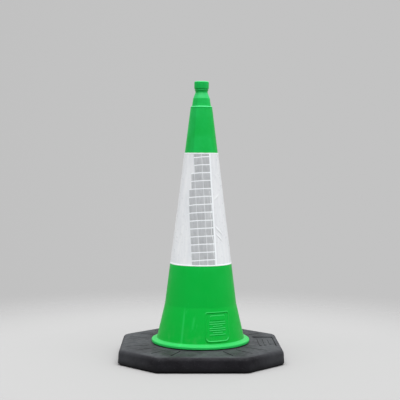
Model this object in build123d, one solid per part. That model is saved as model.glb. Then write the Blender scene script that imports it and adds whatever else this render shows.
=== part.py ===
from build123d import *
import os
from math import atan, degrees, radians, tan

# A two-part traffic cone: a hollow plastic cone pushed into a heavy octagonal
# base, with a white reflective sleeve round it.
# Millimetres, +Z up. The origin is on the cone's axis, on the ground.
# The front of the cone faces -Y.

# Whole object
cone_height = 1000.0

# Base: a moulded slab, open underneath, with a socket through its middle
base_width = 585.0
base_height = 54.0
corner_cut = 137.0
corner_radius = 30.0
wall_lean = 3.0
top_edge_radius = 16.0
foot_gap = 4.5
foot_inset = 6.0
deck_thickness = 16.0
skirt_thickness = 16.0
rib_count = 24
rib_thickness = 8.0
rib_ground_gap = 4.0
ring_rib_radius = 232.0
socket_wall = 12.2

# Radial grooves in the top of the base, the same in each quarter
groove_inner_radius = 196.0
groove_outer_radius = 280.0
groove_width = 5.0
groove_depth = 3.0
groove_first_deg = 22.3
groove_step_deg = 16.0
grooves_per_quarter = 4

# Sunk label panel in the top of the base, on the +X side, with blank raised bars
label_inner_x = 196.0
label_outer_x = 271.0
label_length = 184.0
label_depth = 3.0
label_corner_radius = 6.0
label_bar_count = 3
label_bar_width = 8.0
label_bar_length = 140.0
label_bar_height = 2.0

# Collar and neck at the top of the cone
bore_radius = 18.5
collar_radius = 26.4
collar_bottom = 973.0
collar_edge_radius = 4.0
grip_groove_radius = 23.0
ring_radius = 24.8
ring_top = 970.8
ring_bottom = 966.2
neck_radius = 22.4
neck_bottom = 959.0
shoulder_radius = 30.4
shoulder_bottom = 938.0

# Stacking ledge under the shoulder
ledge_inner_radius = 34.4
ledge_outer_radius = 39.2
ledge_top = 910.5
ledge_bottom = 906.0
ledge_bevel = 3.4
ledge_lip = 0.6

# Main cone, sleeve seat and flared skirt
wall_thickness = 3.0
seat_bottom = 341.0
seat_bottom_radius = 110.0
flare_top = 195.0
flare_top_radius = 130.0
flare_bottom = 71.0
flare_bottom_radius = 158.8

# Flange that sits on the base, and the spigot below it
flange_radius = 178.0
flange_top_at_rim = 67.0
flange_underside = 64.0
flange_skirt_bottom = 57.6
flange_skirt_thickness = 3.5
flange_rim_radius = 2.5
flange_root_radius = 3.5
spigot_radius = 159.0
spigot_inner_radius = 155.6
spigot_bottom = 10.0
socket_clearance = 0.3

# Keys on the spigot, and the slots for them in the socket
key_count = 4
key_width = 24.0
key_depth = 3.0
key_height = 24.0
key_first_angle = 45.0

# Sleeve: white backing, reflective film on it, and a seam strip
sleeve_top = 742.0
sleeve_gap = 0.3
backing_thickness = 0.8
film_thickness = 0.5
seam_width = 7.0
seam_thickness = 0.35
seam_angle_deg = -62.0
seam_end_margin = 4.0

# Raised frame low on the front right of the cone, with blank raised bars in it
panel_angle_deg = -66.2
panel_slant_deg = 4.5
panel_bottom = 79.0
panel_top = 181.0
panel_width = 92.0
panel_frame_width = 4.0
panel_top_corner = 8.0
panel_bottom_corner = 16.0
panel_relief = 1.4
plate_height = 17.0
plate_width = 58.0
plate_corner = 5.0
panel_bar_count = 7
panel_bar_height = 2.8
panel_bar_pitch = 7.2
panel_bar_width = 62.0
panel_bar_corner = 1.0

# Worked out from the above
label_middle_x = (label_inner_x + label_outer_x) / 2
sleeve_thickness = sleeve_gap + backing_thickness + film_thickness
cone_slope = (seat_bottom_radius - ledge_outer_radius) / (ledge_bottom - seat_bottom)


def ring(inner_radius, outer_radius, bottom, top):
    """A plain round ring about the cone's axis."""
    height = top - bottom
    place = Pos(0, 0, bottom + height / 2)
    return place * (Cylinder(outer_radius, height) - Cylinder(inner_radius, height))


def seat_radius(height):
    """Outer radius of the main cone at a height, between the ledge and the seat's bottom."""
    return ledge_outer_radius + cone_slope * (ledge_bottom - height)


def revolved(*points):
    """A solid of revolution about Z from the (radius, height) corners of its section."""
    section = Plane.XZ * make_face(Polyline(*points, close=True))
    return revolve(section, Axis.Z, 360)


def octagon(width, cut, radius):
    """The base's outline: a square with its four corners cut off and rounded."""
    half = width / 2
    flat = half - cut
    quarter = [(half, -flat), (half, flat), (flat, half), (-flat, half)]
    opposite = [(-x, -y) for x, y in quarter]
    outline = make_face(Polyline(*quarter, *opposite, close=True))
    return fillet(outline.vertices(), radius)


def ground_recess():
    """The gap round the foot of the base, where its outer edge stands clear of the ground."""
    foot_cut = corner_cut - foot_inset * (2 - 2 ** 0.5)
    around = extrude(octagon(base_width + foot_inset, corner_cut, corner_radius), foot_gap)
    return around - extrude(octagon(base_width - 2 * foot_inset, foot_cut, corner_radius), foot_gap)


def base_pockets():
    """The hollow under the deck, divided by ribs that stop short of the ground."""
    depth = base_height - deck_thickness
    inner_width = base_width - 2 * skirt_thickness
    inner_cut = corner_cut - skirt_thickness * (2 - 2 ** 0.5)
    hollow = extrude(octagon(inner_width, inner_cut, corner_radius), depth)
    hub_radius = spigot_radius + socket_clearance + socket_wall
    hollow -= Cylinder(hub_radius, 2 * depth)
    rib_depth = depth - rib_ground_gap
    rib_reach = base_width / 2
    rib = Pos(rib_reach / 2, 0, rib_ground_gap + rib_depth / 2) * Box(rib_reach, rib_thickness, rib_depth)
    for index in range(rib_count):
        hollow -= Rot(0, 0, (index + 0.5) * 360 / rib_count) * rib
    ring_rib_inner = ring_rib_radius - rib_thickness / 2
    return hollow - ring(ring_rib_inner, ring_rib_inner + rib_thickness, rib_ground_gap, depth)


def base_grooves():
    """Radial grooves in the deck, mirrored from one quarter to the next, but none on the label panel."""
    length = groove_outer_radius - groove_inner_radius
    middle = (groove_outer_radius + groove_inner_radius) / 2
    groove = Pos(0, -middle, base_height) * Box(groove_width, length, 2 * groove_depth)
    label_turn = 90.0
    label_half_turn = degrees(atan(label_length / 2 / label_inner_x))
    grooves = []
    for index in range(grooves_per_quarter):
        angle = groove_first_deg + index * groove_step_deg
        turns = (angle, -angle, 180 - angle, 180 + angle)
        grooves += [Rot(0, 0, turn) * groove for turn in turns if abs(turn - label_turn) > label_half_turn]
    return grooves


def label_recess():
    """The sunk panel in the deck, less the blank raised bars that stay in it."""
    width = label_outer_x - label_inner_x
    outline = RectangleRounded(width, label_length, label_corner_radius)
    recess = Pos(label_middle_x, 0, base_height - label_depth) * extrude(outline, 2 * label_depth)
    bar = Box(label_bar_width, label_bar_length, label_bar_height)
    bar_pitch = width / (label_bar_count + 1)
    for index in range(label_bar_count):
        bar_x = label_inner_x + (index + 1) * bar_pitch
        recess -= Pos(bar_x, 0, base_height - label_depth + label_bar_height / 2) * bar
    return recess


def key(extra, bottom, top):
    """One key of the spigot, or with some extra all round, the slot that it slides in."""
    depth = spigot_radius + key_depth + extra
    height = top - bottom
    block = Pos(depth / 2, 0, bottom + height / 2) * Box(depth, key_width + 2 * extra, height)
    return block - Cylinder(spigot_inner_radius + wall_thickness / 2, 4 * cone_height)


def key_turns():
    """The places of the keys round the axis."""
    return [Rot(0, 0, key_first_angle + index * 360 / key_count) for index in range(key_count)]


def base():
    """The heavy base."""
    taper = degrees(atan(wall_lean / base_height))
    slab = extrude(octagon(base_width, corner_cut, corner_radius), base_height, taper=taper)
    slab = fillet(slab.edges().group_by(Axis.Z)[-1], top_edge_radius)
    slab -= ground_recess()
    slab -= base_pockets()
    for groove in base_grooves():
        slab -= groove
    slab -= label_recess()
    socket_radius = spigot_radius + socket_clearance
    slab += ring(socket_radius, socket_radius + socket_wall, base_height / 2, flange_underside)
    slab -= Cylinder(socket_radius, 4 * base_height)
    for turn in key_turns():
        slab -= turn * key(socket_clearance, -base_height, 2 * base_height)
    return slab


def cone_shell():
    """The hollow cone with its collar, stacking ledge, sleeve seat, flare, flange and spigot."""
    lip_radius = ledge_outer_radius + ledge_lip
    outer = [
        (collar_radius, cone_height),
        (collar_radius, collar_bottom),
        (grip_groove_radius, collar_bottom - 0.8),
        (grip_groove_radius, ring_top),
        (ring_radius, ring_top - 0.8),
        (ring_radius, ring_bottom + 0.8),
        (neck_radius, ring_bottom),
        (neck_radius, neck_bottom),
        (shoulder_radius, shoulder_bottom),
        (ledge_inner_radius, ledge_top),
        (lip_radius - ledge_bevel, ledge_top),
        (lip_radius, ledge_top - ledge_bevel),
        (lip_radius, ledge_bottom),
        (ledge_outer_radius, ledge_bottom),
        (seat_bottom_radius, seat_bottom),
        (seat_bottom_radius + sleeve_thickness, seat_bottom),
        (flare_top_radius, flare_top),
        (flare_bottom_radius, flare_bottom),
        (flange_radius - flange_rim_radius, flange_top_at_rim),
        (flange_radius, flange_top_at_rim - flange_rim_radius),
        (flange_radius, flange_skirt_bottom),
    ]
    skirt_inner_radius = flange_radius - flange_skirt_thickness
    underside = [
        (skirt_inner_radius, flange_skirt_bottom),
        (skirt_inner_radius, flange_underside),
        (spigot_radius, flange_underside),
        (spigot_radius, spigot_bottom),
        (spigot_inner_radius, spigot_bottom),
    ]
    inner = [
        (spigot_inner_radius, flange_top_at_rim),
        (flare_bottom_radius - wall_thickness, flare_bottom),
        (flare_top_radius - wall_thickness, flare_top),
        (seat_bottom_radius - wall_thickness, seat_bottom),
        (ledge_outer_radius - wall_thickness, ledge_bottom - wall_thickness),
        (ledge_inner_radius - wall_thickness, ledge_top - wall_thickness),
        (shoulder_radius - wall_thickness, shoulder_bottom - 2),
        (bore_radius, neck_bottom - wall_thickness),
        (bore_radius, cone_height),
    ]
    shell = revolved(*outer, *underside, *inner)
    rings = shell.edges().filter_by(GeomType.CIRCLE)
    rim = rings.filter_by(lambda edge: abs(edge.radius - collar_radius) < 0.1).group_by(Axis.Z)[-1]
    shell = fillet(rim, collar_edge_radius)
    rings = shell.edges().filter_by(GeomType.CIRCLE)
    root = rings.filter_by(lambda edge: abs(edge.radius - flare_bottom_radius) < 0.1)
    return fillet(root, flange_root_radius)


def relief_layer():
    """A thin layer over the flare, as thick as the raised frame stands proud."""
    return revolved(
        (flare_top_radius - wall_thickness / 2, flare_top),
        (flare_top_radius + panel_relief, flare_top),
        (flare_bottom_radius + panel_relief, flare_bottom),
        (flare_bottom_radius - wall_thickness / 2, flare_bottom),
    )


def panel_prism(width, bottom, top, top_corner, bottom_corner):
    """A slanted, rounded bar that points out through the flare at the panel, to cut relief from."""
    panel_middle = (panel_bottom + panel_top) / 2
    slant = tan(radians(panel_slant_deg))
    half = width / 2
    low, high = bottom - panel_middle, top - panel_middle
    ends = [(-half, low), (half, low), (half, high), (-half, high)]
    outline = make_face(Polyline(*[(across + slant * up, up) for across, up in ends], close=True))
    outline = fillet(outline.vertices().group_by(Axis.Y)[-1], top_corner)
    outline = fillet(outline.vertices().group_by(Axis.Y)[0], bottom_corner)
    return Rot(0, 0, panel_angle_deg) * Pos(0, 0, panel_middle) * extrude(Plane.YZ * outline, flange_radius)


def panel_relief_solids():
    """The raised frame, a blank plate and a column of blank bars."""
    edge = panel_frame_width
    width, bottom, top = panel_width - 2 * edge, panel_bottom + edge, panel_top - edge
    inner_corners = (panel_top_corner - edge, panel_bottom_corner - edge)
    frame = panel_prism(panel_width, panel_bottom, panel_top, panel_top_corner, panel_bottom_corner)
    frame -= panel_prism(width, bottom, top, *inner_corners)
    plate_top = panel_top - 3 * edge
    plate_bottom = plate_top - plate_height
    prisms = [frame, panel_prism(plate_width, plate_bottom, plate_top, plate_corner, plate_corner)]
    for index in range(panel_bar_count):
        bar_top = plate_bottom - (index + 1) * panel_bar_pitch + panel_bar_height
        bar_bottom = bar_top - panel_bar_height
        prisms.append(panel_prism(panel_bar_width, bar_bottom, bar_top, panel_bar_corner, panel_bar_corner))
    layer = relief_layer()
    return [layer & prism for prism in prisms]


def cone_body():
    """The green cone moulding."""
    body = cone_shell()
    for turn in key_turns():
        body += turn * key(0, spigot_bottom, spigot_bottom + key_height)
    for relief in panel_relief_solids():
        body += relief
    return body


def sleeve_layer(inner_offset, outer_offset):
    """One conical sheet of the sleeve, between two offsets from the cone's surface."""
    top_radius = seat_radius(sleeve_top)
    return revolved(
        (top_radius + inner_offset, sleeve_top),
        (top_radius + outer_offset, sleeve_top),
        (seat_bottom_radius + outer_offset, seat_bottom),
        (seat_bottom_radius + inner_offset, seat_bottom),
    )


def sleeve_backing():
    """White sheet next to the cone."""
    return sleeve_layer(sleeve_gap, sleeve_gap + backing_thickness)


def reflective_film():
    """Prismatic film laminated on the backing."""
    return sleeve_layer(sleeve_gap + backing_thickness, sleeve_thickness)


def sleeve_seam():
    """Narrow strip welded over the sleeve's joint, from near its top to near its bottom."""
    bottom = seat_bottom + seam_end_margin
    height = sleeve_top - seam_end_margin - bottom
    layer = sleeve_layer(sleeve_thickness, sleeve_thickness + seam_thickness)
    strip = Pos(seat_bottom_radius / 2, 0, bottom + height / 2) * Box(1.2 * seat_bottom_radius, seam_width, height)
    return layer & (Rot(0, 0, seam_angle_deg) * strip)


nodes = {
    "base": base(),
    "cone_body": cone_body(),
    "sleeve_backing": sleeve_backing(),
    "reflective_film": reflective_film(),
    "sleeve_seam": sleeve_seam(),
}

os.makedirs("parts", exist_ok=True)
for name, shape in nodes.items():
    export_step(shape, f"parts/{name}.step")
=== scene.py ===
import math
from functools import partial

import bmesh
import bpy
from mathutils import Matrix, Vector, noise


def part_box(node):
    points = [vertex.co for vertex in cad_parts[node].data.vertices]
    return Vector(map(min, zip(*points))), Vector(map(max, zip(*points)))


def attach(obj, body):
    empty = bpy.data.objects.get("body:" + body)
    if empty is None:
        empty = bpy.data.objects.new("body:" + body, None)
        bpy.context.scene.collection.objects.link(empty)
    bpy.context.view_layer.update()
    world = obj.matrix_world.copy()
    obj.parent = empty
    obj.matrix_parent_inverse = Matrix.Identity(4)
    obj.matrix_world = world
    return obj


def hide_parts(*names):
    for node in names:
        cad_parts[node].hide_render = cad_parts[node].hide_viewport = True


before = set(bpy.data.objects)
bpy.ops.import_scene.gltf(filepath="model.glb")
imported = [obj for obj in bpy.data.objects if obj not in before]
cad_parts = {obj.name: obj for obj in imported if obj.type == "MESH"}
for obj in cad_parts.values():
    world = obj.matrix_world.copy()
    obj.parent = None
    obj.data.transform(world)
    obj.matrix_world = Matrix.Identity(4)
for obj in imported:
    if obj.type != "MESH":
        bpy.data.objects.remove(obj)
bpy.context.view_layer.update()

# A two-part traffic cone. Lengths below are millimetres, turned into metres as
# each mesh is made. Angles are degrees about +Z, from +X, so the front is -90.

METRE = 1000.0
FLOOR_RADIUS, FLOOR_HEIGHT = 1900.0, -0.2


def node_box(name):
    """A CAD node's lowest and highest corner, in millimetres."""
    low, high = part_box(name)
    return [c * METRE for c in low], [c * METRE for c in high]


BASE_LOW, BASE_HIGH = node_box("base")
BODY_LOW, BODY_HIGH = node_box("cone_body")
SLEEVE_LOW, SLEEVE_HIGH = node_box("reflective_film")

# Base
BASE_WIDTH = BASE_HIGH[0] - BASE_LOW[0]
DECK = 54.0
CORNER_CUT = 137.0
CORNER_RADIUS = 30.0
WALL_LEAN = 3.0
TOP_EDGE_RADIUS = 16.0
GROUND_INNER_INSET, GROUND_OUTER_INSET = 14.0, 7.0
FOOT_INSET, FOOT_GAP = 6.0, 4.5
DECK_RIM_INSET = 22.0
WEAR, WEAR_SIZE = 0.45, 70.0
SKIRT_THICKNESS = 16.0
POCKET_TOP = 38.0
RIB_BOTTOM = 4.0
RIB_COUNT = 24
RIB_THICKNESS = 8.0
RING_RIB_RADIUS = 232.0
POCKET_MARGIN = 3.0
SOCKET_RADIUS = 159.3
HUB_RADIUS = 171.5
HUB_TOP = BASE_HIGH[2]
HUB_RISE = HUB_TOP - DECK
GROOVE_INNER, GROOVE_OUTER = 196.0, 280.0
GROOVE_WIDTH = 5.0
GROOVE_DEPTH = 3.0
GROOVE_FIRST, GROOVE_STEP = 22.3, 16.0
GROOVES_PER_QUARTER = 4
GROOVE_EDGE = 0.7
LABEL_INNER, LABEL_OUTER = 196.0, 271.0
LABEL_LENGTH = 184.0
LABEL_DEPTH = 3.0
LABEL_CORNER = 6.0
LABEL_EDGE = 0.8
LABEL_BAR_LENGTHS = (140.0, 118.0, 84.0)
LABEL_BAR_WIDTH = 8.0
LABEL_BAR_CORNER = 2.5
KEY_TURNS = (45.0, 135.0, 225.0, 315.0)
KEY_WIDTH = 24.0
KEY_DEPTH = 3.0
KEY_HEIGHT = 24.0
SLOT_CLEARANCE = 0.3
CORNER_STEPS = 7
SIDE_STEPS = 16

# Cone
WALL = 3.0
CONE_TOP = 1000.0
COLLAR_RADIUS, COLLAR_BOTTOM = 26.4, 973.0
BORE_RADIUS, BORE_BOTTOM = 18.5, 955.0
THROAT_RADIUS, THROAT_HEIGHT = 27.0, 936.0
THROAT_FOOT_RADIUS = 30.6
COLLAR_GROOVE_RADIUS = 23.0
RING_RADIUS, RING_TOP, RING_BOTTOM = 24.8, 970.0, 967.0
RING_BEVEL = 0.8
NECK_RADIUS, NECK_BOTTOM = 22.4, 959.0
SHOULDER_RADIUS, SHOULDER_HEIGHT = 30.4, 938.0
LEDGE_ROOT_RADIUS, LEDGE_TOP_RADIUS, LEDGE_TOP = 34.4, 36.4, 910.5
LEDGE_RADIUS, LEDGE_EDGE, LEDGE_HEIGHT = 39.2, 907.1, 906.0
LEDGE_LIP, SEAT_LIP = 0.6, 1.6
SEAT_RADIUS, SEAT_HEIGHT = 110.0, SLEEVE_LOW[2]
FLARE_TOP_RADIUS, FLARE_TOP = 130.0, 195.0
FLARE_RADIUS, FLARE_BOTTOM = 158.8, 71.0
FLANGE_RADIUS = BODY_HIGH[0]
FLANGE_TOP = 67.0
FLANGE_UNDERSIDE = HUB_TOP
FLANGE_BOTTOM = 57.6
FLANGE_SKIRT = 3.5
FLANGE_ROOT_FILLET = 3.5
FLARE_FILLET = 60.0
SPIGOT_RADIUS, SPIGOT_INNER = 159.0, 155.6
SPIGOT_BOTTOM = BODY_LOW[2]
CONE_STEP, PANEL_STEP = 2.5, 0.36
WAVY_BELOW = 890.0
SEAT_WAVE, OPEN_WAVE, WAVE_SIZE = 0.08, 0.3, 60.0

# Raised frame on the flare. Each pair of rises is at the frame's bottom and its top.
PANEL_ANGLE = -66.2
PANEL_SLANT = math.tan(math.radians(4.5))
PANEL_BOTTOM, PANEL_TOP = 79.0, 181.0
PANEL_WIDTH = 92.0
PANEL_FRAME = 4.0
FRAME_RISE = (2.4, 0.7)
FLOOR_RISE = (0.5, -1.3)
PANEL_TOP_CORNER, PANEL_BOTTOM_CORNER = 8.0, 16.0
PLATE_WIDTH, PLATE_HEIGHT, PLATE_CORNER = 58.0, 17.0, 5.0
BAR_COUNT = 7
BAR_WIDTH, BAR_HEIGHT, BAR_CORNER = 62.0, 2.8, 1.2
BAR_PITCH = 7.2
BAR_RISE = 0.9
SHORT_BAR_TRIM = 12.0
PANEL_MARGIN, PANEL_REACH = 5.0, 24.0

# Sleeve
SLEEVE_TOP = SLEEVE_HIGH[2]
SLEEVE_BOTTOM = SLEEVE_LOW[2]
SLEEVE_GAP = 0.3
BACKING = 0.8
FILM = 0.5
JOINT_GAP = 0.4
SEAM_ANGLE = -62.0
SEAM_WIDTH = 6.0
CELL_ACROSS, CELL_ALONG = 28.8, 28.24
FIRST_COLUMN, FIRST_ROW = 1.9, 507.3
WELD_ACROSS, WELD_ALONG = 2.4, 3.4
EDGE_WELD = 5.0
CLEAR_RELIEF, BAND_RELIEF = 0.10, 0.42

# How much of the third column of cells is grey, row by row from the top; below, all of it is
THIRD_COLUMN = {-1: 0.0, 0: 0.0, 1: 0.0, 2: 0.40, 3: 0.45, 4: 0.85, 5: 0.9}

# Folds on the seam's other side: distance from the apex, tilt, reach and height of each
FAR_FOLD_WIDTH, FAR_FOLD_LIMIT = 3.2, 60.0
FAR_FOLD_PIVOT, FAR_FOLD_MIDDLE = 18.0, 20.0
FAR_FOLDS = [(575, 0.9, 9, 0.9), (655, -0.8, 10, 1.3), (770, 0.95, 16, 1.9), (795, 0.9, 12, 1.5)]

SLOPE = (SEAT_RADIUS - LEDGE_RADIUS) / (LEDGE_HEIGHT - SEAT_HEIGHT)
HALF_ANGLE = math.atan(SLOPE)

# Camera, in metres and degrees, but for its pitch, which is in radians. Its turn is
# its place round the cone, away from straight in front, and its aim is where it looks.
CAMERA_DISTANCE, CAMERA_HEIGHT = 3.3974, 0.7084
CAMERA_TURN, CAMERA_AIM, CAMERA_ROLL = -1.2, -1.125, -0.25
CAMERA_PITCH = 0.0404
CAMERA_LENS, CAMERA_SENSOR = 84.18, 36.0


# ------------------------------------------- small tools

def smooth_step(low, high, value):
    """0 below low, 1 above high, and an S curve between."""
    share = min(max((value - low) / (high - low), 0.0), 1.0)
    return share * share * (3 - 2 * share)


def mix(a, b, share):
    return a + (b - a) * share


def seat_radius(height):
    """Radius of the cone's surface under the sleeve."""
    return LEDGE_RADIUS + SLOPE * (LEDGE_HEIGHT - height)


def wobble(x, y, z, size):
    """Smooth noise from -1 to 1 whose lumps are about size across."""
    return noise.noise(Vector((x, y, z)) / size)


def polar(radius, degrees, height):
    angle = math.radians(degrees)
    return radius * math.cos(angle), radius * math.sin(angle), height


def turned(x, y, degrees):
    """A point turned about the origin."""
    angle = math.radians(degrees)
    cosine, sine = math.cos(angle), math.sin(angle)
    return x * cosine - y * sine, x * sine + y * cosine


def filleted(corners, steps=6, closed=True):
    """A path through (x, y, radius) corners, each corner with a radius made an arc."""
    path = []
    count = len(corners)
    for index, (x, y, radius) in enumerate(corners):
        here = Vector((x, y))
        is_end = not closed and index in (0, count - 1)
        if radius == 0 or is_end:
            path.append((x, y))
            continue
        back = (Vector(corners[index - 1][:2]) - here).normalized()
        ahead = (Vector(corners[(index + 1) % count][:2]) - here).normalized()
        half = back.angle(ahead) / 2
        centre = here + (back + ahead).normalized() * (radius / math.sin(half))
        start = here + back * (radius / math.tan(half)) - centre
        end = here + ahead * (radius / math.tan(half)) - centre
        turn = math.atan2(start.x * end.y - start.y * end.x, start.dot(end))
        first = math.atan2(start.y, start.x)
        for step in range(steps + 1):
            angle = first + turn * step / steps
            across, up = radius * math.cos(angle), radius * math.sin(angle)
            path.append((centre.x + across, centre.y + up))
    return path


def divided(path, longest, closed=True):
    """The same path with its long stretches cut into equal pieces, none over longest(x, y)."""
    result = []
    ends = path[1:] + path[:1] if closed else path[1:]
    for (x0, y0), (x1, y1) in zip(path, ends):
        limit = longest((x0 + x1) / 2, (y0 + y1) / 2)
        pieces = max(1, math.ceil(math.hypot(x1 - x0, y1 - y0) / limit))
        for piece in range(pieces):
            result.append((mix(x0, x1, piece / pieces), mix(y0, y1, piece / pieces)))
    if not closed:
        result.append(path[-1])
    return result


def add_object(name, data):
    made = bpy.data.objects.new(name, data)
    bpy.context.scene.collection.objects.link(made)
    return made


def finish_mesh(name, bm, materials, sharp_degrees=38):
    """An object in metres from a mesh in millimetres, smooth but for its sharp edges."""
    bmesh.ops.scale(bm, vec=(1 / METRE,) * 3, verts=bm.verts)
    bmesh.ops.recalc_face_normals(bm, faces=bm.faces)
    mesh = bpy.data.meshes.new(name)
    bm.to_mesh(mesh)
    bm.free()
    mesh.shade_smooth()
    mesh.set_sharp_from_angle(angle=math.radians(sharp_degrees))
    for material in materials:
        mesh.materials.append(material)
    return add_object(name, mesh)


def lathe(section, angles, move):
    """A closed ring-shaped skin: the closed section at each angle, each point placed by move."""
    bm = bmesh.new()
    rings = []
    for angle in angles:
        rings.append([bm.verts.new(move(angle, radius, height)) for radius, height in section])
    ring_faces(bm, rings)
    return bm


def ring_faces(bm, rings):
    """Faces between each ring of vertices and the next, and from the last to the first."""
    faces = []
    for ring, following in zip(rings, rings[1:] + rings[:1]):
        for index in range(len(ring)):
            after = (index + 1) % len(ring)
            corners = (ring[index], following[index], following[after], ring[after])
            faces.append(bm.faces.new(corners))
    return faces


# --------------------------------------------- materials

class Nodes:
    """A material's node tree, with its Principled shader made."""

    def __init__(self, name):
        self.material = bpy.data.materials.new(name)
        self.material.use_nodes = True
        self.tree = self.material.node_tree
        self.shader = self.tree.nodes["Principled BSDF"]
        self.position = self.add("ShaderNodeTexCoord").outputs["Object"]

    def add(self, kind, settings=(), **inputs):
        """A new node: settings are its own properties, and inputs go to its sockets."""
        node = self.tree.nodes.new(kind)
        for key, value in dict(settings).items():
            setattr(node, key, value)
        for key, value in inputs.items():
            self.join(value, node.inputs[int(key[1:]) if key[1:].isdigit() else key])
        return node

    def join(self, value, socket):
        if isinstance(value, bpy.types.NodeSocket):
            self.tree.links.new(value, socket)
        else:
            socket.default_value = value

    def math(self, operation, a, b=0.0):
        return self.add("ShaderNodeMath", {"operation": operation}, _0=a, _1=b).outputs[0]

    def times(self, a, b):
        return self.math("MULTIPLY", a, b)

    def noise(self, scale, detail=4.0, rough=0.55, position=None):
        node = self.add("ShaderNodeTexNoise", Scale=scale, Detail=detail, Roughness=rough)
        self.join(position or self.position, node.inputs["Vector"])
        return node.outputs["Fac"]

    def stretched(self, scale):
        return self.add("ShaderNodeMapping", Vector=self.position, Scale=scale).outputs[0]

    def ramp(self, value, low, high, to_low=0.0, to_high=1.0):
        """value's climb from low to high, as an S curve from to_low to to_high."""
        limits = {"_1": low, "_2": high, "_3": to_low, "_4": to_high}
        settings = {"interpolation_type": "SMOOTHSTEP"}
        return self.add("ShaderNodeMapRange", settings, _0=value, **limits).outputs[0]

    def blend(self, share, a, b):
        """Colour a to colour b."""
        node = self.add("ShaderNodeMix", {"data_type": "RGBA"})
        self.join(share, node.inputs[0])
        self.join(a, node.inputs[6])
        self.join(b, node.inputs[7])
        return node.outputs[2]

    def bump(self, height, strength, distance, normal=None):
        node = self.add("ShaderNodeBump", Height=height, Strength=strength, Distance=distance)
        if normal:
            self.join(normal, node.inputs["Normal"])
        return node.outputs[0]

    def edges(self, low, high):
        """1 on worn convex edges, 0 on flat faces."""
        sharpness = self.add("ShaderNodeNewGeometry").outputs["Pointiness"]
        return self.ramp(sharpness, low, high)

    def upward(self, low, high):
        """1 where the surface faces up, 0 where it doesn't."""
        normal = self.add("ShaderNodeNewGeometry").outputs["Normal"]
        height = self.add("ShaderNodeSeparateXYZ", _0=normal).outputs[2]
        return self.ramp(height, low, high)

    def place(self):
        """The point's x, y and z, in metres."""
        return self.add("ShaderNodeSeparateXYZ", _0=self.position).outputs

    def height(self):
        return self.place()[2]

    def set(self, **values):
        for key, value in values.items():
            self.join(value, self.shader.inputs[key.replace("_", " ")])
        return self.material


def green_plastic():
    """Moulded polyethylene: mottled, pale-streaked lengthways, dusty low down, pale at its edges;
    painted light makes it paler higher up and on the flange's rim, with painted highlights on faces
    turned up and in a low streak, and painted shade on the left front.
    """
    n = Nodes("green_plastic")
    low_green = (0.001, 0.415, 0.040, 1)
    high_green = (0.015, 0.532, 0.102, 1)
    pale = (0.030, 0.570, 0.120, 1)
    low_painted_highlight = (0.026, 0.440, 0.094, 1)
    high_painted_highlight = (0.068, 0.650, 0.215, 1)
    dust = (0.110, 0.360, 0.140, 1)
    # painted light: the green is made paler higher up, where the body is lit more
    green = n.blend(n.ramp(n.height(), 0.10, 0.85), low_green, high_green)
    colour = n.blend(n.ramp(n.noise(9.0), 0.35, 0.65, 0.4), low_green, green)
    # painted highlight: faces turned up are paler and bluer, as where they reflect the sky
    painted_highlight = n.blend(n.ramp(n.height(), 0.3, 0.9), low_painted_highlight, high_painted_highlight)
    colour = n.blend(n.upward(0.27, 0.43), colour, painted_highlight)
    # pale streaks running lengthways
    stripe_field = n.noise(60.0, 5.0, 0.6, n.stretched((1.0, 1.0, 0.16)))
    pale_stripes = n.ramp(stripe_field, 0.62, 0.74)
    colour = n.blend(n.times(pale_stripes, 0.28), colour, pale)
    colour = n.blend(n.times(n.edges(0.52, 0.60), 0.35), colour, pale)
    low_down = n.ramp(n.height(), 0.05, 0.16, 1.0, 0.0)
    dusty = n.times(low_down, n.ramp(n.noise(40.0, 6.0), 0.45, 0.75))
    colour = n.blend(n.times(dusty, 0.2), colour, dust)
    x, y, _ = n.place()
    away = n.math("SQRT", n.math("ADD", n.times(x, x), n.times(y, y)))
    # painted light: the flange's outer side is made paler, as if lit from the front
    rim = n.ramp(away, 0.1765, 0.1778, 0.0, 0.85)
    colour = n.blend(rim, colour, pale)
    turn = n.math("ARCTAN2", y, x)
    # painted shade: the left front is darkened, most on its upper part, where it reflects a dark
    # surround
    left_front = n.ramp(turn, -2.12, -2.02, 1.0, 0.0)
    painted_shade = n.times(n.ramp(turn, -2.85, -2.55), left_front)
    painted_shade = n.times(painted_shade, n.ramp(n.height(), 0.25, 0.75, 0.15, 1.0))
    colour = n.blend(painted_shade, colour, n.blend(0.15, colour, (0.0, 0.05, 0.004, 1)))
    # painted highlight: a pale upright streak low on the flare's left front, where it reflects a
    # light
    past_painted_highlight_streak = n.ramp(turn, -2.03, -1.985, 1.0, 0.0)
    painted_highlight_streak = n.times(n.ramp(turn, -2.075, -2.03), past_painted_highlight_streak)
    painted_highlight_streak = n.times(painted_highlight_streak, n.ramp(n.height(), 0.16, 0.21, 1.0, 0.0))
    colour = n.blend(n.times(painted_highlight_streak, 0.45), colour, pale)
    fine = n.bump(n.noise(520.0, 3.0), 0.10, 0.0006)
    soft = n.bump(n.noise(26.0, 2.0), 0.25, 0.0012, fine)
    roughness = n.ramp(n.noise(34.0, 5.0), 0.3, 0.75, 0.34, 0.50)
    n.set(Base_Color=colour, Roughness=roughness, Normal=soft)
    return n.set(Specular_IOR_Level=0.12)


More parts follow.
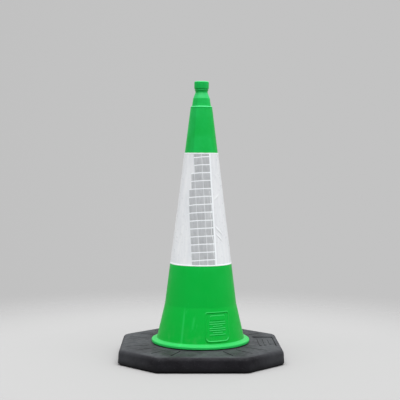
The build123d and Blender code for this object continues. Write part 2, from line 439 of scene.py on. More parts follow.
def black_base():
    """Recycled plastic: coarse and flecked, dusty on top, paler at its sides from painted light,
    and darkest at its foot from painted shade.
    """
    n = Nodes("black_base")
    dark = (0.006, 0.0055, 0.0075, 1)
    grey = (0.012, 0.0115, 0.0145, 1)
    dusty = (0.062, 0.066, 0.072, 1)
    worn = (0.060, 0.060, 0.064, 1)
    colour = n.blend(n.ramp(n.noise(14.0, 6.0, 0.6), 0.35, 0.65), dark, grey)
    flecks = n.ramp(n.noise(300.0, 3.0, 0.5), 0.60, 0.70)
    colour = n.blend(n.times(flecks, 0.35), colour, worn)
    cloud = n.ramp(n.noise(13.0, 8.0, 0.68), 0.34, 0.66, 0.32, 1.1)
    # painted light: the left and right of the base are blended towards the dust colour, as where
    # side light falls
    side = n.ramp(n.math("ABSOLUTE", n.place()[0]), 0.16, 0.27)
    colour = n.blend(n.times(side, 0.42), colour, dusty)
    top = n.times(n.upward(0.74, 0.99), cloud)
    colour = n.blend(n.times(top, 0.74), colour, dusty)
    # painted shade: the foot of the wall is darkened, where the base meets the floor
    low_down = n.ramp(n.height(), 0.004, 0.026, 0.75, 0.0)
    colour = n.blend(low_down, colour, (0.001, 0.001, 0.0015, 1))
    patches = n.ramp(n.noise(45.0, 5.0), 0.35, 0.7)
    rubbed = n.times(n.edges(0.505, 0.56), patches)
    colour = n.blend(n.times(rubbed, 0.3), colour, worn)
    grain = n.bump(n.noise(330.0, 5.0, 0.65), 0.35, 0.0012)
    lumps = n.bump(n.noise(38.0, 4.0, 0.55), 0.35, 0.0030, grain)
    roughness = n.ramp(n.noise(60.0, 5.0), 0.3, 0.7, 0.52, 0.75)
    n.set(Base_Color=colour, Roughness=roughness, Normal=lumps)
    return n.set(Specular_IOR_Level=0.15)


def white_sheet():
    """The backing: smooth white sheet."""
    n = Nodes("white_sheet")
    colour = n.blend(n.noise(30.0), (0.72, 0.73, 0.74, 1), (0.80, 0.81, 0.82, 1))
    roughness = n.ramp(n.noise(80.0), 0.3, 0.7, 0.42, 0.55)
    fine = n.bump(n.noise(600.0), 0.08, 0.0004)
    return n.set(Base_Color=colour, Roughness=roughness, Normal=fine)


def film_cells():
    """Prismatic film in its sealed cells: fine ribbing, greyer beside the seam with painted
    reflection.
    """
    n = Nodes("film_cells")
    grey_share = n.add("ShaderNodeAttribute", {"attribute_name": "grey"}).outputs["Fac"]
    bands = n.noise(85.0, 4.0, 0.65, n.stretched((1.0, 1.0, 0.05)))
    dull, bright = (0.755, 0.775, 0.80, 1), (0.83, 0.845, 0.86, 1)
    white = n.blend(n.ramp(bands, 0.3, 0.7), dull, bright)
    streaks = n.noise(150.0, 3.0, 0.6, n.stretched((1.0, 1.0, 0.12)))
    dark_grey, light_grey = (0.37, 0.385, 0.40, 1), (0.45, 0.465, 0.48, 1)
    grey = n.blend(n.ramp(streaks, 0.35, 0.65), dark_grey, light_grey)
    # the grey in the cells beside the seam is painted reflection
    colour = n.blend(grey_share, white, grey)
    fine = n.bump(n.noise(700.0, 2.0), 0.12, 0.0005)
    ribs = n.bump(streaks, 0.10, 0.0010, fine)
    roughness = n.ramp(n.noise(70.0, 4.0), 0.3, 0.7, 0.26, 0.40)
    n.set(Base_Color=colour, Roughness=roughness, Normal=ribs)
    return n.set(Coat_Weight=0.25, Coat_Roughness=0.2)


def film_welds():
    """The welded lines between the cells, the edge welds and the seam: clean glossy white."""
    n = Nodes("film_welds")
    colour = n.blend(n.noise(45.0, 4.0), (0.88, 0.91, 0.94, 1), (0.94, 0.965, 0.99, 1))
    roughness = n.ramp(n.noise(120.0, 3.0), 0.3, 0.7, 0.28, 0.42)
    fine = n.bump(n.noise(300.0), 0.15, 0.0005)
    return n.set(Base_Color=colour, Roughness=roughness, Normal=fine)


# -------------------------------------------------- base

def octagon(inset):
    """The base's outline, drawn in by inset: eight sides and rounded corners."""
    half = BASE_WIDTH / 2 - inset
    flat = half - CORNER_CUT + inset * (2 - math.sqrt(2))
    quarter = [(half, -flat), (half, flat), (flat, half), (-flat, half)]
    corners = quarter + [(-x, -y) for x, y in quarter]
    path = filleted([(x, y, CORNER_RADIUS) for x, y in corners], CORNER_STEPS)
    result = []
    for index, (x, y) in enumerate(path):
        result.append((x, y))
        ends_corner = index % (CORNER_STEPS + 1) == CORNER_STEPS
        if ends_corner:
            next_x, next_y = path[(index + 1) % len(path)]
            for step in range(1, SIDE_STEPS):
                share = step / SIDE_STEPS
                result.append((mix(x, next_x, share), mix(y, next_y, share)))
    return result


def circle(radius, count=144):
    return [polar(radius, 360 * index / count, 0)[:2] for index in range(count)]


def socket_outline(radius):
    """The socket's mouth: a circle with a slot for each key."""
    slot = KEY_WIDTH / 2 + SLOT_CLEARANCE
    corner = math.hypot(radius + KEY_DEPTH, slot)
    half_turn = math.degrees(math.asin(slot / radius))
    slot_side = [(radius, half_turn), (corner, math.degrees(math.asin(slot / corner)))]
    steps = 24
    path = []
    for turn in KEY_TURNS:
        path += [polar(away, turn - off, 0)[:2] for away, off in slot_side]
        path += [polar(away, turn + off, 0)[:2] for away, off in reversed(slot_side)]
        start, end = turn + half_turn, turn + 90 - half_turn
        path += [polar(radius, mix(start, end, step / steps), 0)[:2] for step in range(1, steps)]
    return path


def groove_outline(angle, inset):
    """A groove's outline: a slim bar with rounded ends, drawn in by inset."""
    half = GROOVE_WIDTH / 2 - inset
    low, high = GROOVE_INNER + inset, GROOVE_OUTER - inset
    corners = [(low, -half), (high, -half), (high, half), (low, half)]
    path = filleted([(x, y, half * 0.8) for x, y in corners], 3)
    return [turned(x, y, angle) for x, y in path]


def groove_angles():
    """The grooves' angles, the same in each quarter, but for those under the label panel."""
    angles = []
    label_half_turn = math.degrees(math.atan(LABEL_LENGTH / 2 / LABEL_INNER))
    for index in range(GROOVES_PER_QUARTER):
        away = GROOVE_FIRST + index * GROOVE_STEP
        for angle in (-90 + away, -90 - away, 90 + away, 90 - away):
            on_label = abs((angle + 180) % 360 - 180) < label_half_turn
            if not on_label:
                angles.append(angle)
    return angles


def rounded_rectangle(low_x, high_x, half_y, corner, inset):
    """A rectangle's outline with rounded corners, drawn in by inset."""
    low_x, high_x, half_y = low_x + inset, high_x - inset, half_y - inset
    corners = [(low_x, -half_y), (high_x, -half_y), (high_x, half_y), (low_x, half_y)]
    return filleted([(x, y, corner - inset) for x, y in corners])


def inner_octagon_radius(degrees, inset):
    """Distance from the axis to the octagon's side at an angle, drawn in by inset."""
    straight = BASE_WIDTH / 2
    slanted = (BASE_WIDTH - CORNER_CUT) / math.sqrt(2)
    reach = []
    for side in range(8):
        off = math.cos(math.radians(degrees - 45 * side))
        if off > 0.1:
            reach.append(((slanted if side % 2 else straight) - inset) / off)
    return min(reach)


def pocket_outline(index, inner, outer):
    """One pocket between two ribs; inner and outer give its radius at an angle."""
    step = 360 / RIB_COUNT
    pieces = 6
    path = []
    for edge, first, last in ((outer, 0, 1), (inner, 1, 0)):
        for count in range(pieces + 1):
            share = mix(first, last, count / pieces)
            middle = (index + 0.5 + share) * step
            radius = edge(middle)
            rib = math.degrees(math.asin(RIB_THICKNESS / 2 / radius))
            angle = mix((index + 0.5) * step + rib, (index + 1.5) * step - rib, share)
            path.append(polar(radius, angle, 0)[:2])
    return path


class BaseMesh:
    """Loops of vertices joined by bridges and by flat faces with holes."""

    def __init__(self):
        self.bm = bmesh.new()

    def loop(self, path, height):
        return [self.bm.verts.new((x, y, height)) for x, y in path]

    def bridge(self, first, second):
        count = len(first)
        for index in range(count):
            after = (index + 1) % count
            self.bm.faces.new((first[index], first[after], second[after], second[index]))

    def chain(self, loops):
        """Bridges each loop to the next, and returns the last."""
        for first, second in zip(loops, loops[1:]):
            self.bridge(first, second)
        return loops[-1]

    def fill(self, *loops):
        """A flat face bounded by the first loop, with the others as holes."""
        edges = []
        for loop in loops:
            for a, b in zip(loop, loop[1:] + loop[:1]):
                edges.append(self.bm.edges.get((a, b)) or self.bm.edges.new((a, b)))
        bmesh.ops.triangle_fill(self.bm, use_beauty=True, use_dissolve=False, edges=edges)

    def cap(self, loop):
        self.bm.faces.new(loop)

    def sunk(self, outline, depth, edge, floor_holes=()):
        """A softened recess in the deck, drawn by outline(inset); returns its rim loop."""
        rings = [(0.0, 0.0), (edge * 0.5, -edge * 0.15), (edge * 0.85, -edge * 0.5), (edge, -edge)]
        rings += [(edge * 1.15, -depth + edge * 0.5), (edge * 1.6, -depth)]
        loops = [self.loop(outline(inset), DECK + drop) for inset, drop in rings]
        floor = self.chain(loops)
        if floor_holes:
            self.fill(floor, *floor_holes)
        else:
            self.cap(floor)
        return loops[0]


def raised_bars(base):
    """Blank raised bars on the label panel's floor; returns the loops that they rise from."""
    floor = DECK - LABEL_DEPTH
    half = LABEL_BAR_WIDTH / 2
    pitch = (LABEL_OUTER - LABEL_INNER) / (len(LABEL_BAR_LENGTHS) + 1)
    rings = [(0.0, 0.0), (0.3, 1.5), (0.9, 2.0)]
    feet = []
    for row, length in enumerate(LABEL_BAR_LENGTHS):
        middle = LABEL_INNER + (row + 1) * pitch
        ends = (middle - half, middle + half, length / 2)
        outline = partial(rounded_rectangle, *ends, LABEL_BAR_CORNER)
        loops = [base.loop(outline(inset), floor + rise) for inset, rise in rings]
        base.cap(base.chain(loops))
        feet.append(loops[0])
    return feet


def outer_wall(base):
    """The wall, from the ground round the top edge to the deck; returns its first and last loop."""
    profile = [
        (GROUND_INNER_INSET, 0.0, 0),
        (GROUND_OUTER_INSET, 0.0, 0),
        (FOOT_INSET, FOOT_GAP, 1.0),
        (0.4, FOOT_GAP + 0.8, 1.2),
        (WALL_LEAN, DECK, TOP_EDGE_RADIUS),
        (DECK_RIM_INSET, DECK, 0),
    ]
    side = divided(filleted(profile, 9, closed=False), lambda x, y: 9.0, closed=False)
    walls = []
    for inset, height in side:
        path = []
        for x, y in octagon(inset):
            worn = WEAR * wobble(x, y, height, WEAR_SIZE) - 0.15
            size = math.hypot(x, y)
            path.append((x + worn * x / size, y + worn * y / size))
        walls.append(base.loop(path, height))
    for vert in walls[0]:
        vert.co.z = 0.0
    return walls[0], base.chain(walls)


def hub_and_socket(base):
    """The hub's rounded rim and the socket in it; returns the loops at their feet."""
    hub = [
        (HUB_RADIUS + 2.5, 0.0),
        (HUB_RADIUS + 0.8, 0.7),
        (HUB_RADIUS, 2.5),
        (HUB_RADIUS, HUB_RISE - 1.5),
        (HUB_RADIUS - 0.5, HUB_RISE - 0.4),
        (HUB_RADIUS - 1.6, HUB_RISE),
    ]
    hub_loops = [base.loop(circle(radius), DECK + rise) for radius, rise in hub]
    hub_rim = base.chain(hub_loops)
    heights = (HUB_TOP, HUB_TOP - 1.0, DECK / 2, 1.0, 0.0)
    eases = (0.6, 0.0, 0.0, 0.0, 0.6)
    socket = []
    for height, ease in zip(heights, eases):
        socket.append(base.loop(socket_outline(SOCKET_RADIUS + ease), height))
    base.fill(hub_rim, socket[0])
    return hub_loops[0], base.chain(socket)


def make_deck(base, deck_rim, hub_foot):
    """The deck, with the grooves and the label panel sunk in it."""
    holes = [hub_foot]
    for angle in groove_angles():
        holes.append(base.sunk(partial(groove_outline, angle), GROOVE_DEPTH, GROOVE_EDGE))
    sides = (LABEL_INNER, LABEL_OUTER, LABEL_LENGTH / 2)
    label = partial(rounded_rectangle, *sides, LABEL_CORNER)
    holes.append(base.sunk(label, LABEL_DEPTH, LABEL_EDGE, raised_bars(base)))
    base.fill(deck_rim, *holes)


def make_underside(base, ground_loop, socket_foot):
    """The rings that the hub and the skirt stand on, and the pockets between the ribs."""
    hub_foot = [base.loop(circle(HUB_RADIUS), height) for height in (0.0, RIB_BOTTOM)]
    base.bridge(*hub_foot)
    base.fill(socket_foot, hub_foot[0])
    skirt_foot = [base.loop(octagon(SKIRT_THICKNESS), height) for height in (0.0, RIB_BOTTOM)]
    base.bridge(*skirt_foot)
    base.fill(ground_loop, skirt_foot[0])
    rib_half = RIB_THICKNESS / 2
    skirt_inset = SKIRT_THICKNESS + POCKET_MARGIN
    bands = [
        (lambda angle: HUB_RADIUS + POCKET_MARGIN, lambda angle: RING_RIB_RADIUS - rib_half),
        (
            lambda angle: RING_RIB_RADIUS + rib_half,
            lambda angle: inner_octagon_radius(angle, skirt_inset),
        ),
    ]
    pockets = []
    for inner, outer in bands:
        for index in range(RIB_COUNT):
            path = pocket_outline(index, inner, outer)
            mouth = base.loop(path, RIB_BOTTOM)
            roof = base.loop(path, POCKET_TOP)
            base.bridge(mouth, roof)
            base.cap(roof)
            pockets.append(mouth)
    base.fill(skirt_foot[1], hub_foot[1], *pockets)


def make_base(material):
    """The octagonal base: deck with grooves and label panel, hub and socket, ribbed underside."""
    base = BaseMesh()
    ground_loop, deck_rim = outer_wall(base)
    hub_foot, socket_foot = hub_and_socket(base)
    make_deck(base, deck_rim, hub_foot)
    make_underside(base, ground_loop, socket_foot)
    piece = finish_mesh("base_slab", base.bm, [material], 30)
    weights = piece.modifiers.new("weights", "WEIGHTED_NORMAL")
    weights.keep_sharp = True
    return piece


# -------------------------------------------------- cone

def box_distance(x, y, half_width, half_height, top_corner, bottom_corner):
    """Distance outside a rounded rectangle about the origin, negative inside."""
    corner = top_corner if y > 0 else bottom_corner
    across = abs(x) - half_width + corner
    along = abs(y) - half_height + corner
    outside = math.hypot(max(across, 0.0), max(along, 0.0))
    return outside + min(max(across, along), 0.0) - corner


def inside(distance, soft=0.7):
    """1 well inside an edge, 0 well outside it."""
    return 1.0 - smooth_step(-soft, soft, distance)


def panel_relief(degrees, radius, height):
    """How far the raised frame, its floor, its plate and its bars stand out of the flare."""
    turn = math.radians(degrees - PANEL_ANGLE)
    beyond = not PANEL_BOTTOM - PANEL_FRAME < height < PANEL_TOP + PANEL_FRAME
    if math.cos(turn) < 0.5 or beyond:
        return 0.0
    middle = (PANEL_BOTTOM + PANEL_TOP) / 2
    along = height - middle
    across = radius * math.sin(turn) - PANEL_SLANT * along
    half_width, half_height = PANEL_WIDTH / 2, (PANEL_TOP - PANEL_BOTTOM) / 2
    corners = [PANEL_TOP_CORNER, PANEL_BOTTOM_CORNER]
    outer = inside(box_distance(across, along, half_width, half_height, *corners))
    half_width -= PANEL_FRAME
    half_height -= PANEL_FRAME
    corners = [corner - PANEL_FRAME for corner in corners]
    floor = inside(box_distance(across, along, half_width, half_height, *corners))
    upward = (height - PANEL_BOTTOM) / (PANEL_TOP - PANEL_BOTTOM)
    frame_rise = mix(*FRAME_RISE, upward)
    floor_rise = mix(*FLOOR_RISE, upward)
    rise = outer * frame_rise + floor * (floor_rise - frame_rise)
    plate_top = half_height - 2 * PANEL_FRAME
    from_plate = along - plate_top + PLATE_HEIGHT / 2
    plate = (PLATE_WIDTH / 2, PLATE_HEIGHT / 2, PLATE_CORNER, PLATE_CORNER)
    rise += inside(box_distance(across, from_plate, *plate))
    for index in range(BAR_COUNT):
        bar_middle = plate_top - PLATE_HEIGHT - (index + 1) * BAR_PITCH + BAR_HEIGHT / 2
        half_bar = BAR_WIDTH / 2 - (SHORT_BAR_TRIM if index % 3 == 2 else 0.0)
        bar = (half_bar, BAR_HEIGHT / 2, BAR_CORNER, BAR_CORNER)
        rise += BAR_RISE * inside(box_distance(across, along - bar_middle, *bar))
    return rise


def on_panel(radius, height):
    """Whether a point of the section is on the flare's outside, at the raised frame's height."""
    level = PANEL_BOTTOM - PANEL_MARGIN < height < PANEL_TOP + PANEL_MARGIN
    return level and radius > outer_radius(height) - WALL / 2


def key_half_turn():
    return math.degrees(math.asin(KEY_WIDTH / 2 / (SPIGOT_RADIUS + KEY_DEPTH)))


def key_relief(degrees, height):
    """The keys on the spigot."""
    if not SPIGOT_BOTTOM + 0.5 < height < SPIGOT_BOTTOM + KEY_HEIGHT:
        return 0.0
    for turn in KEY_TURNS:
        if abs((degrees - turn + 180) % 360 - 180) <= key_half_turn() + 0.01:
            return KEY_DEPTH
    return 0.0


def cone_section():
    """The cone's closed section as (radius, height), outside first."""
    flange_in = FLANGE_RADIUS - FLANGE_SKIRT
    # Each corner is its radius, its height and the radius of its rounding
    corners = [
        (BORE_RADIUS, CONE_TOP, 1.5),
        (COLLAR_RADIUS, CONE_TOP, 4.0),
        (COLLAR_RADIUS, COLLAR_BOTTOM, 1.0),
        (COLLAR_GROOVE_RADIUS, COLLAR_BOTTOM - RING_BEVEL, 0.5),
        (COLLAR_GROOVE_RADIUS, RING_TOP + RING_BEVEL, 0.5),
        (RING_RADIUS, RING_TOP, 0.8),
        (RING_RADIUS, RING_BOTTOM, 0.8),
        (NECK_RADIUS, RING_BOTTOM - RING_BEVEL, 0.8),
        (NECK_RADIUS, NECK_BOTTOM, 3.0),
        (SHOULDER_RADIUS, SHOULDER_HEIGHT, 9.0),
        (LEDGE_ROOT_RADIUS, LEDGE_TOP, 1.0),
        (LEDGE_TOP_RADIUS, LEDGE_TOP, 0.6),
        (LEDGE_RADIUS + LEDGE_LIP, LEDGE_EDGE, 0.6),
        (LEDGE_RADIUS + LEDGE_LIP, LEDGE_HEIGHT, 0.2),
        (LEDGE_RADIUS, LEDGE_HEIGHT, 0),
        (SEAT_RADIUS, SEAT_HEIGHT, 0),
        (SEAT_RADIUS + SEAT_LIP, SEAT_HEIGHT, 0.3),
        (FLARE_TOP_RADIUS, FLARE_TOP, FLARE_FILLET),
        (FLARE_RADIUS, FLARE_BOTTOM, FLANGE_ROOT_FILLET),
        (FLANGE_RADIUS - 1.5, FLANGE_TOP, 1.2),
        (FLANGE_RADIUS, FLANGE_TOP - 2.5, 1.2),
        (FLANGE_RADIUS, FLANGE_BOTTOM, 0.8),
        (flange_in, FLANGE_BOTTOM, 0.8),
        (flange_in, FLANGE_UNDERSIDE, 1.0),
        (SPIGOT_RADIUS, FLANGE_UNDERSIDE, 0),
        (SPIGOT_RADIUS, SPIGOT_BOTTOM, 0.8),
        (SPIGOT_INNER, SPIGOT_BOTTOM, 0.8),
        (SPIGOT_INNER, FLANGE_TOP, 1.5),
        (FLARE_RADIUS - WALL, FLARE_BOTTOM, 1.5),
        (FLARE_TOP_RADIUS - WALL, FLARE_TOP, FLARE_FILLET),
        (SEAT_RADIUS - WALL, SEAT_HEIGHT, 0),
        (LEDGE_RADIUS - WALL, LEDGE_HEIGHT - WALL, 1.5),
        (THROAT_FOOT_RADIUS, LEDGE_HEIGHT, 1.5),
        (THROAT_RADIUS, THROAT_HEIGHT, 8.0),
        (BORE_RADIUS, BORE_BOTTOM, 4.0),
    ]

    def longest(radius, height):
        return 0.9 if on_panel(radius, height) else 12.0

    return divided(filleted(corners, 5), longest)


def outer_radius(height):
    """The cone's outside, without its fillets, from the flange up to the sleeve seat."""
    if height > FLARE_TOP:
        share = (height - FLARE_TOP) / (SEAT_HEIGHT - FLARE_TOP)
        return mix(FLARE_TOP_RADIUS, SEAT_RADIUS, share)
    share = (height - FLARE_BOTTOM) / (FLARE_TOP - FLARE_BOTTOM)
    return mix(FLARE_RADIUS, FLARE_TOP_RADIUS, share)


def cone_angles():
    """Angles round the cone, closer together at the panel and doubled at the keys' sides."""
    angles = {step * CONE_STEP for step in range(-72, 72)}
    angles = {angle for angle in angles if abs(angle - PANEL_ANGLE) > PANEL_REACH}
    fine_steps = range(int(2 * PANEL_REACH / PANEL_STEP) + 1)
    angles |= {PANEL_ANGLE - PANEL_REACH + PANEL_STEP * step for step in fine_steps}
    for turn in KEY_TURNS:
        middle = (turn + 180) % 360 - 180
        for half_turn in (key_half_turn(), key_half_turn() + 0.12):
            angles |= {middle - half_turn, middle + half_turn}
    return sorted(angles)


def make_cone(material):
    """The green moulding, one closed skin."""
    seat_low, seat_high = SEAT_HEIGHT - 2, SLEEVE_TOP + 2

    def move(degrees, radius, height):
        x, y, z = polar(radius, degrees, height)
        wave = SEAT_WAVE if seat_low < height < seat_high else OPEN_WAVE
        if FLANGE_BOTTOM <= height < WAVY_BELOW:
            radius += wave * wobble(x, y, z * 0.4, WAVE_SIZE)
        if on_panel(radius, height):
            radius += panel_relief(degrees, radius, height)
        if radius > SPIGOT_RADIUS - 0.5:
            radius += key_relief(degrees, height)
        return polar(radius, degrees, height)

    bm = lathe(cone_section(), cone_angles(), move)
    return finish_mesh("cone_shell", bm, [material], 50)


# ------------------------------------------------ sleeve

def outside_film(height):
    return seat_radius(height) + SLEEVE_GAP + BACKING + FILM


class Sheet:
    """The film laid flat. Across is measured from the seam, along from the cone's apex."""

    sine = math.sin(HALF_ANGLE)
    cosine = math.cos(HALF_ANGLE)
    top = outside_film(SLEEVE_TOP) / sine
    bottom = outside_film(SLEEVE_BOTTOM) / sine
    spread = math.tau * sine

    @classmethod
    def place(cls, across, along, rise):
        """The point on the cone where a point of the flat sheet goes."""
        slant = math.hypot(across, along)
        turn = math.atan2(across, along) / cls.sine
        height = SLEEVE_TOP - (slant - cls.top) * cls.cosine
        radius = slant * cls.sine + rise
        return polar(radius, SEAM_ANGLE - math.degrees(turn), height)


def line_positions(first, pitch, weld, low, high):
    """Mesh lines over a run of cells from low to high: each weld's edges, and across each cell."""
    cell = pitch - weld
    shares = [(0.0, 0.0), (0.05, 0.45), (0.13, 0.80), (0.30, 0.96), (0.5, 1.0)]
    shares += [(1 - share, rise) for share, rise in reversed(shares[:-1])]
    rows = []
    start = first - math.ceil((first - low) / pitch + 1) * pitch
    while start < high + pitch:
        rows += [(start - weld / 2 + 0.001, 0.0), (start, 0.0)]
        rows += [(start + weld / 2 + cell * share, rise) for share, rise in shares[:-1]]
        start += pitch
    return [row for row in rows if low < row[0] < high]


def fold_line(along):
    """How far from the seam the long fold beside it runs, and how strong it is there."""
    wave = 2.2 * math.sin(along / 23.0) + 1.4 * math.sin(along / 9.5 + 1.0)
    strength = smooth_step(610, 650, along) * (1 - smooth_step(860, 885, along))
    return 8.5 + wave * smooth_step(600, 700, along), strength


def creases(across, along):
    """The fold beside the seam, where the sheet was pulled together."""
    middle, strength = fold_line(along)
    return 0.9 * strength * math.exp(-(((across - middle) / 1.6) ** 2))


def far_side(across, along):
    """Distance from the seam on its other side, along the cone's surface."""
    return (Sheet.spread - math.atan2(across, along)) * math.hypot(across, along)


def far_creases(across, along):
    """Slanting folds on the other side of the seam."""
    slant = math.hypot(across, along)
    away = far_side(across, along)
    if away > FAR_FOLD_LIMIT:
        return 0.0
    fold = 0.0
    for centre, tilt, size, lift in FAR_FOLDS:
        line = (slant - centre) - tilt * (away - FAR_FOLD_PIVOT)
        reach = math.exp(-(((away - FAR_FOLD_MIDDLE) / size) ** 2))
        fold += lift * reach * math.exp(-((line / FAR_FOLD_WIDTH) ** 2))
    return fold


def band_share(across, along):
    """1 in the uneven band of cells beside the seam that carry painted reflection, 0 away from it.
    """
    column = (across - FIRST_COLUMN) / CELL_ACROSS
    row = math.floor((along - FIRST_ROW + WELD_ALONG / 2) / CELL_ALONG)
    reach = 2.0 + THIRD_COLUMN.get(row, 1.0)
    return 1.0 - smooth_step(reach - 0.02, reach + 0.05, column) if across > 0 else 0.0


def grey_share(across, along):
    """How grey the film's painted reflection is: paler at upright welds and the fold, with painted
    shadow inside the fold.
    """
    column = math.floor((across - FIRST_COLUMN) / CELL_ACROSS)
    row = math.floor((along - FIRST_ROW) / CELL_ALONG)
    tone = 0.80 + 0.16 * noise.noise(Vector((column * 3.7, row * 2.3, 0.5)))
    is_weld = (across - FIRST_COLUMN + WELD_ACROSS / 2) % CELL_ACROSS < WELD_ACROSS
    if is_weld:
        tone *= 0.40
    # the fold line is paler; painted shadow makes the strip between the fold and the seam greyer
    middle, strength = fold_line(along)
    if strength > 0.5 and abs(across - middle) < 1.2:
        tone *= 0.15
    elif strength > 0.5 and across < middle:
        tone *= 1.25
    return tone * band_share(across, along)


def flat_grid():
    """A flat sheet of cells in straight rows, and the layer that holds how raised each point is."""
    widest = Sheet.bottom * math.sin(Sheet.spread)
    lowest = Sheet.top * math.cos(Sheet.spread) - 5
    columns = line_positions(FIRST_COLUMN + CELL_ACROSS, CELL_ACROSS, WELD_ACROSS, 1.0, widest + 4)
    # Closer lines for the long fold beside the seam
    columns += [(1.2 * step + 2.45, 0.9) for step in range(1, 18)]
    acrosses = [(JOINT_GAP, 0.0)] + sorted(columns)
    alongs = line_positions(FIRST_ROW, CELL_ALONG, WELD_ALONG, lowest, Sheet.bottom + 6)
    bm = bmesh.new()
    rise_layer = bm.verts.layers.float.new("rise")
    grid = [[bm.verts.new((across, along, 0)) for across, _ in acrosses] for along, _ in alongs]
    for row, (along, along_rise) in zip(grid, alongs):
        for vert, (across, across_rise) in zip(row, acrosses):
            vert[rise_layer] = max(along_rise, 0) * max(across_rise, 0)
    for row, above in zip(grid, grid[1:]):
        for index in range(len(row) - 1):
            bm.faces.new((row[index], row[index + 1], above[index + 1], above[index]))
    return bm, rise_layer


def trim_grid(bm):
    """Cuts the flat sheet to the shape that wraps the cone once, finer where it is folded."""
    out = {vert for vert in bm.verts if not Sheet.top < vert.co.xy.length < Sheet.bottom}
    gone = [face for face in bm.faces if all(vert in out for vert in face.verts)]
    bmesh.ops.delete(bm, geom=gone, context="FACES")
    loose = [vert for vert in bm.verts if not vert.link_faces]
    bmesh.ops.delete(bm, geom=loose, context="VERTS")
    for vert in bm.verts:
        length = vert.co.xy.length
        kept = min(max(length, Sheet.top), Sheet.bottom)
        vert.co *= kept / length
    end = Vector((math.sin(Sheet.spread), math.cos(Sheet.spread), 0))
    across_end = Vector((math.cos(Sheet.spread), -math.sin(Sheet.spread), 0))
    everything = bm.verts[:] + bm.edges[:] + bm.faces[:]
    bmesh.ops.bisect_plane(
        bm,
        geom=everything,
        plane_co=end - across_end * JOINT_GAP,
        plane_no=across_end,
        clear_outer=True,
    )
    bmesh.ops.dissolve_degenerate(bm, dist=0.02, edges=bm.edges)
    folded = []
    for edge in bm.edges:
        if all(far_side(vert.co.x, vert.co.y) < 50 for vert in edge.verts):
            folded.append(edge)
    bmesh.ops.subdivide_edges(bm, edges=folded, cuts=2, use_grid_fill=True)


def make_film(cells, welds):
    """The film: rectangular cells in straight rows on a flat sheet, wrapped round the cone."""
    bm, rise_layer = flat_grid()
    trim_grid(bm)
    grey_layer = bm.faces.layers.float.new("grey")
    for face in bm.faces:
        across, along, _ = face.calc_center_median()
        off_along = (along - FIRST_ROW + WELD_ALONG / 2) % CELL_ALONG
        is_weld = off_along < WELD_ALONG and band_share(across, along) > 0.5
        face.material_index = 1 if is_weld else 0
        # the grey layer holds painted reflection in the cells beside the seam
        face[grey_layer] = 0.0 if is_weld else grey_share(across, along)
    outer_faces = list(bm.faces)
    twin = {}
    for vert in list(bm.verts):
        across, along, _ = vert.co
        slant = math.hypot(across, along)
        free = smooth_step(0, 12, slant - Sheet.top) * smooth_step(0, 12, Sheet.bottom - slant)
        free *= smooth_step(0, 4, across) * smooth_step(0, 8, far_side(across, along))
        relief = mix(CLEAR_RELIEF, BAND_RELIEF, band_share(across, along))
        rise = vert[rise_layer] * relief
        rise += free * (creases(across, along) + far_creases(across, along))
        rise += free * 0.12 * wobble(across, along, 3.0, 26.0)
        across += free * 0.8 * wobble(across, along, 7.0, 34.0)
        along += free * 0.9 * wobble(across, along, 11.0, 30.0)
        twin[vert] = bm.verts.new(Sheet.place(across, along, -FILM))
        vert.co = Sheet.place(across, along, rise)
    for face in outer_faces:
        back = bm.faces.new([twin[vert] for vert in reversed(face.verts)])
        back.material_index = 1
    rim = [edge.verts[:] for edge in bm.edges if edge.is_boundary]
    for a, b in rim:
        if a not in twin or b not in twin:
            continue
        side = bm.faces.new((a, b, twin[b], twin[a]))
        side.material_index = 1
    add_edge_weld(bm, SLEEVE_TOP, -1)
    add_edge_weld(bm, SLEEVE_BOTTOM, 1)
    return finish_mesh("film_sheet", bm, [cells, welds], 60)


def add_edge_weld(bm, edge_height, direction):
    """A narrow pressed band along the top or bottom edge of the film."""
    count = 160
    heights = [0.0, 0.5, EDGE_WELD - 0.8, EDGE_WELD]
    rises = [0.25, 0.42, 0.42, 0.05]
    corners = [(rise, edge_height + direction * h) for h, rise in zip(heights, rises)]
    corners += [(-0.3, edge_height + direction * EDGE_WELD), (-0.3, edge_height)]
    rings = []
    for index in range(count):
        degrees = 360 * index / count
        places = [polar(outside_film(h) + rise, degrees, h) for rise, h in corners]
        rings.append([bm.verts.new(place) for place in places])
    for face in ring_faces(bm, rings):
        face.material_index = 1


def make_seam(material):
    """The welded strip over the joint, very slightly wavy, with rounded edges."""
    bm = bmesh.new()
    half = SEAM_WIDTH / 2
    left = [(-1.0, -0.1), (-0.96, 0.35), (-0.75, 0.62)]
    shape = left + [(0.0, 0.75)] + [(-across, rise) for across, rise in reversed(left)]
    end_gap = 0.6
    rows = []
    count = 130
    for index in range(count + 1):
        height = mix(SLEEVE_BOTTOM + end_gap, SLEEVE_TOP - end_gap, index / count)
        radius = outside_film(height)
        drift = 0.7 * wobble(0, 0, height, 45.0)
        swell = 1.0 + 0.12 * wobble(5, 0, height, 18.0)
        row = []
        for across, rise in shape:
            degrees = SEAM_ANGLE + math.degrees((across * half * swell + drift) / radius)
            row.append(bm.verts.new(polar(radius + rise, degrees, height)))
        rows.append(row)
    for row, above in zip(rows, rows[1:]):
        for index in range(len(shape)):
            after = (index + 1) % len(shape)
            bm.faces.new((row[index], row[after], above[after], above[index]))
    bm.faces.new(rows[0])
    bm.faces.new(rows[-1])
    return finish_mesh("seam_strip", bm, [material], 70)


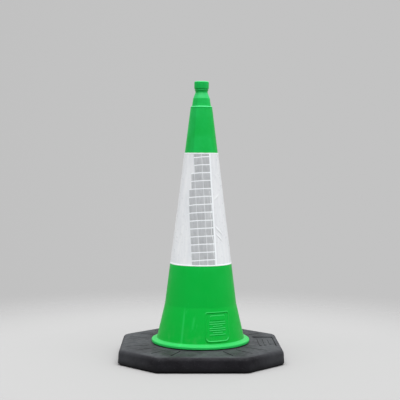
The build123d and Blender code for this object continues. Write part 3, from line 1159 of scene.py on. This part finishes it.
def make_backing(material):
    """The white sheet under the film."""
    inner, outer = SLEEVE_GAP, SLEEVE_GAP + BACKING
    top, bottom = seat_radius(SLEEVE_TOP), seat_radius(SLEEVE_BOTTOM)
    corners = [
        (top + inner, SLEEVE_TOP, 0.2),
        (top + outer, SLEEVE_TOP, 0.2),
        (bottom + outer, SLEEVE_BOTTOM, 0.2),
        (bottom + inner, SLEEVE_BOTTOM, 0.2),
    ]
    section = divided(filleted(corners, 2), lambda radius, height: 20.0)
    angles = [2.5 * step for step in range(144)]
    bm = lathe(section, angles, lambda degrees, radius, height: polar(radius, degrees, height))
    return finish_mesh("backing_sheet", bm, [material], 40)


# ---------------------------------- floor, light, camera

def make_floor():
    """A round pale floor that fades out into the studio."""
    n = Nodes("floor")
    n.set(Base_Color=(0.345, 0.343, 0.342, 1), Roughness=0.9, Specular_IOR_Level=0.2)
    away = n.add("ShaderNodeVectorMath", {"operation": "LENGTH"}, _0=n.position).outputs["Value"]
    fade = n.ramp(away, 0.75, FLOOR_RADIUS / METRE)
    clear = n.add("ShaderNodeBsdfTransparent").outputs[0]
    blend = n.add("ShaderNodeMixShader", _0=fade, _1=n.shader.outputs[0], _2=clear).outputs[0]
    n.join(blend, n.tree.nodes["Material Output"].inputs["Surface"])
    bm = bmesh.new()
    bmesh.ops.create_circle(bm, cap_ends=True, segments=128, radius=FLOOR_RADIUS)
    for vert in bm.verts:
        vert.co.z = FLOOR_HEIGHT
    return finish_mesh("floor", bm, [n.material])


def make_side_light(name, place, watts):
    """A soft square light, aimed at the cone's middle."""
    data = bpy.data.lights.new(name, "AREA")
    data.shape = "SQUARE"
    data.size = 1.2
    data.energy = watts
    light = add_object(name, data)
    light.location = place
    aim = Vector((0, 0, 0.5)) - Vector(place)
    light.rotation_euler = aim.to_track_quat("-Z", "Y").to_euler()
    light.visible_glossy = False


def make_world():
    """A pale studio all round, darker to the front and left, and brighter overhead."""
    world = bpy.data.worlds.new("studio")
    world.use_nodes = True
    tree = world.node_tree
    split = tree.nodes.new("ShaderNodeSeparateXYZ")
    tree.links.new(tree.nodes.new("ShaderNodeTexCoord").outputs["Generated"], split.inputs[0])

    def graded(axis, low, high, to_low, to_high):
        node = tree.nodes.new("ShaderNodeMapRange")
        node.interpolation_type = "SMOOTHSTEP"
        tree.links.new(split.outputs[axis], node.inputs["Value"])
        limits = {"From Min": low, "From Max": high, "To Min": to_low, "To Max": to_high}
        for socket, value in limits.items():
            node.inputs[socket].default_value = value
        return node.outputs[0]

    def total(a, b):
        node = tree.nodes.new("ShaderNodeMath")
        tree.links.new(a, node.inputs[0])
        tree.links.new(b, node.inputs[1])
        return node.outputs[0]

    low_down = total(graded("Y", -0.95, 0.0, 0.16, 0.545), graded("X", -0.9, 0.0, -0.10, 0.0))
    strength = total(low_down, graded("Z", 0.2, 0.6, 0.0, 0.5))
    background = tree.nodes["Background"]
    background.inputs["Color"].default_value = (1.0, 1.0, 1.0, 1)
    tree.links.new(strength, background.inputs["Strength"])
    bpy.context.scene.world = world


def make_lights():
    """A soft light from above, as from a cloudy sky, and a little more from each side."""
    data = bpy.data.lights.new("overhead", "SUN")
    data.energy = 3.7
    data.angle = math.radians(65)
    data.color = (0.985, 0.99, 1.0)
    light = add_object("overhead", data)
    light.rotation_euler = Vector((0.05, -0.26, 1.0)).to_track_quat("Z", "Y").to_euler()
    make_side_light("right", (2.8, -0.9, 1.6), 4)
    make_side_light("left", (-2.8, -0.9, 1.6), 8)


def make_camera():
    """A long lens, lower than the collar and a little to the cone's left."""
    turn, roll, aim = (math.radians(angle) for angle in (CAMERA_TURN, CAMERA_ROLL, CAMERA_AIM))
    data = bpy.data.cameras.new("camera")
    data.lens = CAMERA_LENS
    data.sensor_width = CAMERA_SENSOR
    camera = add_object("camera", data)
    x, y = CAMERA_DISTANCE * math.sin(turn), -CAMERA_DISTANCE * math.cos(turn)
    camera.location = (x, y, CAMERA_HEIGHT)
    camera.rotation_euler = (math.pi / 2 - CAMERA_PITCH, roll, aim)
    bpy.context.scene.camera = camera


# ---------------------------------------------- assembly

def main():
    bpy.context.scene.view_settings.view_transform = "Standard"
    welds = film_welds()
    pieces = [
        (make_base(black_base()), "base", "base", "base_black"),
        (make_cone(green_plastic()), "cone_body", "cone_body", "cone_green"),
        (make_backing(white_sheet()), "sleeve", "sleeve_backing", "backing_white"),
        (make_film(film_cells(), welds), "sleeve", "reflective_film", "film_white"),
        (make_seam(welds), "sleeve", "sleeve_seam", "seam_white"),
    ]
    for piece, body, node, slot in pieces:
        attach(piece, body)
        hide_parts(node)
    make_floor()
    make_world()
    make_lights()
    make_camera()


main()
